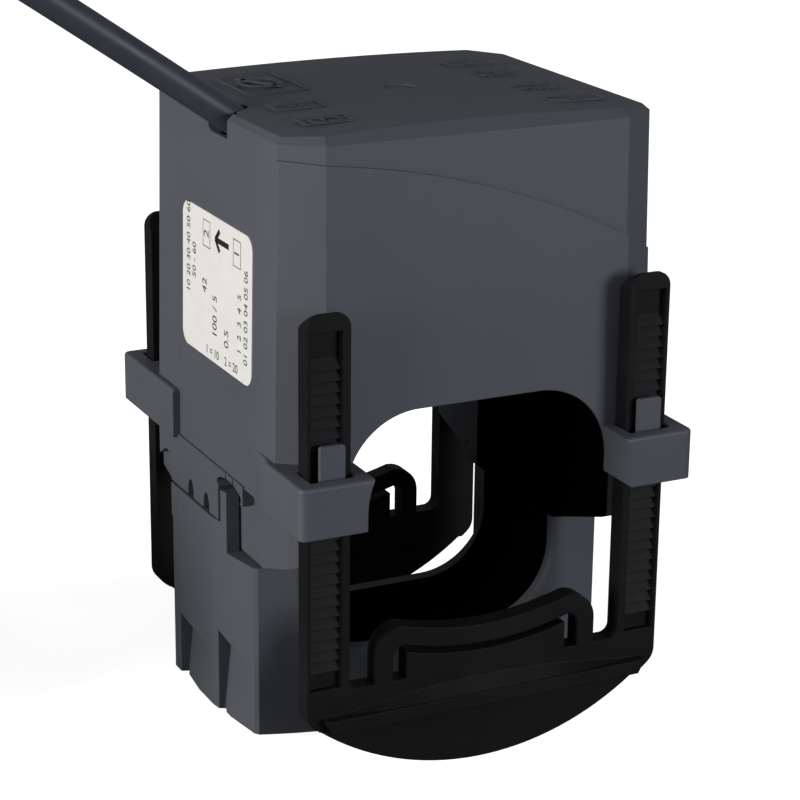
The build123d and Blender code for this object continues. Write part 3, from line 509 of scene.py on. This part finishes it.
winding_core = bpy.data.objects.new("winding_under_layers", winding_under)
bpy.context.scene.collection.objects.link(winding_core)
for piece in (winding, winding_core):
    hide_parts("secondary_winding")
    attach(piece, "housing")

# Tape: yellow polyester film wrapped round the winding to hold and insulate it, its turns lapped like
# a bandage, with a darker line where one turn ends on the next.
tape_colour = (0.72, 0.48, 0.055, 1.0)
tape_line = (0.50, 0.31, 0.03, 1.0)
tape_patches = 200.0
lap_pitch = 8.0 * MM

tape = Finish("tape_film", tape_colour, 0.25, coat=0.3)
lap = (tape.axis("X") / lap_pitch).maths("FRACT").between(0.0, 0.06)
tape.feed(Base_Color=tape.mix(lap, tape_line, tape_colour),
          Roughness=0.2 + 0.14 * tape.grain(tape_patches, 3.0), Normal=tape.bump(lap, 0.05 * MM, 0.8))
dress(tape, "winding_tape")

# Core spring: an arched strip of bright spring steel that presses the lower core upwards. The rolls
# have left fine lines along it.
spring_colour = (0.50, 0.50, 0.51, 1.0)
lines_along = (60.0, 3000.0, 60.0)

sprung = Finish("spring_steel", spring_colour, 0.3, metallic=1.0)
rolling = sprung.node("ShaderNodeMapping", {"vector_type": "POINT"}, Vector=sprung.place(),
                      Scale=lines_along)
rolled = sprung.node("ShaderNodeTexNoise", Vector=rolling, Scale=1.0, Detail=3.0)
sprung.feed(Roughness=0.22 + 0.2 * rolled, Normal=sprung.bump(rolled, 0.01 * MM, 0.5))
dress(sprung, "core_spring")

# Label: white printed film with rounded corners, stuck on the left face. It carries plain numbers, an
# arrow and frames in black ink; most rows stand upright, as on a label that was turned a quarter.
label_width = 26.4 * MM
label_height = 22.0 * MM
label_thickness = 0.15 * MM
label_lean = math.radians(1.0)
label_colour = (0.70, 0.69, 0.69, 1.0)
label_pale = (0.735, 0.725, 0.725, 1.0)
label_patches = 300.0
label_specks = 2500.0
ink_colour = (0.012, 0.010, 0.010, 1.0)
ink_specks = 900.0
ink_thickness = 0.02 * MM

paper = Finish("label_film", label_colour, 0.5, shine=0.3)
paper_cloud = paper.grain(label_patches, 4.0)
paper.feed(Base_Color=paper.mix(paper_cloud.between(0.3, 0.7), label_colour, label_pale),
           Roughness=0.42 + 0.14 * paper_cloud,
           Normal=paper.bump(paper.grain(label_specks), 0.005 * MM, 0.4))
dress(paper, "rating_label")
ink = Finish("label_ink", ink_colour, 0.55, shine=0.3)
ink.feed(Roughness=0.5 + 0.15 * ink.grain(ink_specks))


def digits(text, size):
    """Plain figures as a flat mesh, centred on their own middle."""
    line = bpy.data.curves.new("figures", "FONT")
    line.body = text
    line.size = size
    line.align_x = "CENTER"
    line.align_y = "CENTER"
    writing = bpy.data.objects.new("figures", line)
    bpy.context.scene.collection.objects.link(writing)
    graph = bpy.context.evaluated_depsgraph_get()
    flat = bpy.data.meshes.new_from_object(writing.evaluated_get(graph))
    bpy.data.objects.remove(writing)
    return flat


class Print:
    """Flat figures, bars and frames gathered on a sheet and raised by one thickness."""

    def __init__(self):
        self.sheet = bmesh.new()

    def figures(self, text, size, u, v, turn=0.0):
        """Plain figures round a point, turned by an angle."""
        flat = digits(text, size)
        flat.transform(Matrix.Translation((u, v, 0.0)) @ Matrix.Rotation(turn, 4, "Z"))
        self.sheet.from_mesh(flat)

    def patch(self, *corners):
        """One flat face through the given corners."""
        self.sheet.faces.new([self.sheet.verts.new((u, v, 0.0)) for u, v in corners])

    def bar(self, u, v, width, height, turn=0.0):
        """A rectangle round a point, turned by an angle."""
        c, s = math.cos(turn), math.sin(turn)
        corners = [(x * width / 2, y * height / 2) for x, y in ((-1, -1), (1, -1), (1, 1), (-1, 1))]
        self.patch(*[(u + x * c - y * s, v + x * s + y * c) for x, y in corners])

    def frame(self, u, v, width, height, line):
        """Four bars round a point."""
        for x, y, w, h in ((0, height / 2, width + line, line), (0, -height / 2, width + line, line),
                           (width / 2, 0, line, height - line), (-width / 2, 0, line, height - line)):
            self.bar(u + x, v + y, w, h)

    def ring(self, u, v, radius, line, steps=32):
        """A flat ring with the line's width inwards from its radius."""
        for i in range(steps):
            a, b = 2 * math.pi * i / steps, 2 * math.pi * (i + 1) / steps
            inner = radius - line
            self.patch(*[(u + r * math.cos(t), v + r * math.sin(t))
                         for r, t in ((inner, a), (radius, a), (radius, b), (inner, b))])

    def piece(self, name, thickness, place, finish):
        """Raise the sheet by a thickness, set it in place and make it an object."""
        bmesh.ops.remove_doubles(self.sheet, verts=self.sheet.verts, dist=0.001 * MM)
        for face in self.sheet.faces:
            face.normal_update()
            if face.normal.z < 0:
                face.normal_flip()
        raised = bmesh.ops.extrude_face_region(self.sheet, geom=self.sheet.faces[:])
        for vertex in raised["geom"]:
            if isinstance(vertex, bmesh.types.BMVert):
                vertex.co.z += thickness
        bmesh.ops.recalc_face_normals(self.sheet, faces=self.sheet.faces)
        mesh = bpy.data.meshes.new(name)
        self.sheet.to_mesh(mesh)
        self.sheet.free()
        mesh.transform(place)
        mesh.materials.append(finish.material)
        piece = bpy.data.objects.new(name, mesh)
        bpy.context.scene.collection.objects.link(piece)
        return piece


label_low, label_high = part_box("rating_label")
label_out = Vector((-math.cos(label_lean), 0.0, math.sin(label_lean)))
label_up = Vector((math.sin(label_lean), 0.0, math.cos(label_lean)))
label_along = Vector((0.0, -1.0, 0.0))
label_middle = Vector(((label_low[0] + label_high[0]) / 2, (label_low[1] + label_high[1]) / 2,
                       (label_low[2] + label_high[2]) / 2)) + label_out * label_thickness / 2
label_axes = Matrix((label_along, label_up, label_out)).transposed().to_4x4()
label_place = Matrix.Translation(label_middle) @ label_axes
quarter = math.pi / 2
small_figure = 1.9 * MM
figure = 2.3 * MM
large_figure = 2.6 * MM
# Each row: its text, its height, and its place from the label's middle as shares of width and height
label_rows = (("10 20 30 40 50 60", small_figure, -0.41, 0.19), ("50 - 60", small_figure, -0.325, 0.12),
              ("42", figure, -0.17, -0.01), ("100 / 5", figure, -0.02, -0.18), ("0.5", figure, 0.15, -0.28),
              ("1  2  3  4  5", small_figure, 0.33, -0.12), ("01 02 03 04 05 06", small_figure, 0.42, -0.05))
framed_figures = (("2", -0.145, 0.35), ("1", 0.29, 0.34))
frame_width = 2.7 * MM
frame_height = 3.9 * MM
frame_line = 0.12 * MM
foot_row = ("1 = 10    2 = 20", 0.08, -0.44)
arrow_across = 0.08
arrow_up = 0.35
arrow_length = 5.0 * MM
arrow_line = 0.85 * MM
barb_length = 2.3 * MM
barb_line = 0.75 * MM
barb_back = 1.75 * MM

prints = Print()
for text, size, across, up in label_rows:
    prints.figures(text, size, across * label_width, up * label_height, quarter)
for text, across, up in framed_figures:
    prints.figures(text, large_figure, across * label_width, up * label_height, quarter)
    prints.frame(across * label_width, up * label_height, frame_width, frame_height, frame_line)
prints.figures(foot_row[0], small_figure, foot_row[1] * label_width, foot_row[2] * label_height)
arrow_u = arrow_across * label_width
arrow_v = arrow_up * label_height
prints.bar(arrow_u, arrow_v, arrow_length, arrow_line)
for side in (-1, 1):
    prints.bar(arrow_u - barb_back, arrow_v + side * barb_line, barb_length, barb_line, side * math.pi / 4)
label_print = prints.piece("label_print", ink_thickness, label_place, ink)
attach(label_print, "housing")

# Marks on top: low frames, rings and figures of the housing's own plastic that stand up from the mould.
# They lie left of the middle and in rows along the right edge, where they are read from behind.
mark_rise = 0.12 * MM
mark_line = 0.35 * MM
top_height = 96.3 * MM
slash = (-17.7, 11.0, 1.0, 8.4)
slash_turn = 0.5
# Frames by their middle, width and depth, rings by their middle, radius and line, all in millimetres
mark_frames = ((-17.7, 11.0, 9.6, 14.0), (-19.3, -6.1, 7.6, 3.6), (-19.5, -16.5, 7.4, 3.8),
               (18.5, 13.6, 8.0, 3.6), (19.8, -17.0, 8.4, 3.8))
mark_rings = ((-17.7, 11.0, 3.4, 0.7), (-20.6, -16.5, 1.4, 0.4), (-18.2, -16.5, 1.4, 0.4))
# Figures by their height and middle, in millimetres
front_figures = (("42", 2.6, -19.3, -6.1),)
rear_figures = (("2", 2.6, 18.5, 13.6), ("20 30 40", 1.9, 18.4, 6.0), ("50 60 70", 1.9, 18.4, 3.0),
                ("10 20 30", 1.9, 19.2, -5.5), ("40 50 60", 1.9, 19.2, -8.5), ("1", 2.6, 19.8, -17.0))

marks = Print()
for row in mark_frames:
    marks.frame(*[size * MM for size in row], mark_line)
for row in mark_rings:
    marks.ring(*[size * MM for size in row])
marks.bar(*[size * MM for size in slash], slash_turn)
for turn, rows in ((0.0, front_figures), (math.pi, rear_figures)):
    for text, size, u, v in rows:
        marks.figures(text, size * MM, u * MM, v * MM, turn)
top_marks = marks.piece("top_marks", mark_rise, Matrix.Translation((0.0, 0.0, top_height)), housing)
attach(top_marks, "housing")

# Floor: one large pale card that is white to the camera and keeps the part's shadow. It throws back
# less light than it shows, so that the part's underside stays dark.
card_half = 6.0
card_seen = (0.85, 0.85, 0.85, 1.0)
card_thrown = (0.2, 0.2, 0.2, 1.0)
card_dark = (0.0, 0.0, 0.0, 1.0)

floor_mesh = bpy.data.meshes.new("floor")
floor_form = bmesh.new()
bmesh.ops.create_grid(floor_form, x_segments=1, y_segments=1, size=card_half)
floor_form.to_mesh(floor_mesh)
floor_form.free()
floor = bpy.data.objects.new("floor", floor_mesh)
bpy.context.scene.collection.objects.link(floor)
card = Finish("floor_card", card_seen, 0.9, shine=0.0)
seen = card.node("ShaderNodeLightPath", output="Is Camera Ray")
card.feed(Base_Color=card.mix(seen, card_thrown, card_seen),
          Emission_Color=card.mix(seen, card_dark, card_seen), Emission_Strength=1.0)
floor_mesh.materials.append(card.material)

# Backdrop: a white room to the camera, and a weak bluish sky to everything else, so that most of the
# light on the part comes from the two lamps.
sky_colour = (0.92, 0.95, 1.0, 1.0)
sky_strength = 0.2
white = (1.0, 1.0, 1.0, 1.0)

world = bpy.data.worlds.new("studio")
world.use_nodes = True
sky_tree = world.node_tree
sky = sky_tree.nodes["Background"]
sky.inputs["Color"].default_value = sky_colour
sky.inputs["Strength"].default_value = sky_strength
backdrop = sky_tree.nodes.new("ShaderNodeBackground")
backdrop.inputs["Color"].default_value = white
backdrop.inputs["Strength"].default_value = 1.0
rays = sky_tree.nodes.new("ShaderNodeLightPath")
either = sky_tree.nodes.new("ShaderNodeMixShader")
sky_tree.links.new(rays.outputs["Is Camera Ray"], either.inputs[0])
sky_tree.links.new(sky.outputs[0], either.inputs[1])
sky_tree.links.new(backdrop.outputs[0], either.inputs[2])
sky_tree.links.new(either.outputs[0], sky_tree.nodes["World Output"].inputs["Surface"])
bpy.context.scene.world = world

# Lamps: a warm soft box low on the left, which lights the label's side, and a smaller cool one low in
# front, a little to the right. The bracket's arms shade the closing part behind them.
aim_height = 0.05


def lamp(name, place, size, power, colour):
    """A square soft light that points at the part's middle."""
    data = bpy.data.lights.new(name, "AREA")
    data.size = size
    data.energy = power
    data.color = colour
    light = bpy.data.objects.new(name, data)
    light.location = place
    aim = Vector((0.0, 0.0, aim_height)) - Vector(place)
    light.rotation_euler = aim.to_track_quat("-Z", "Y").to_euler()
    bpy.context.scene.collection.objects.link(light)


lamp("left_light", place=(-1.0, -0.1, 0.2), size=0.6, power=14.0, colour=(1.0, 0.98, 0.92))
lamp("front_light", place=(0.45, -0.8, 0.22), size=0.32, power=4.1, colour=(0.93, 0.955, 1.0))

bpy.context.scene.view_settings.view_transform = "Standard"
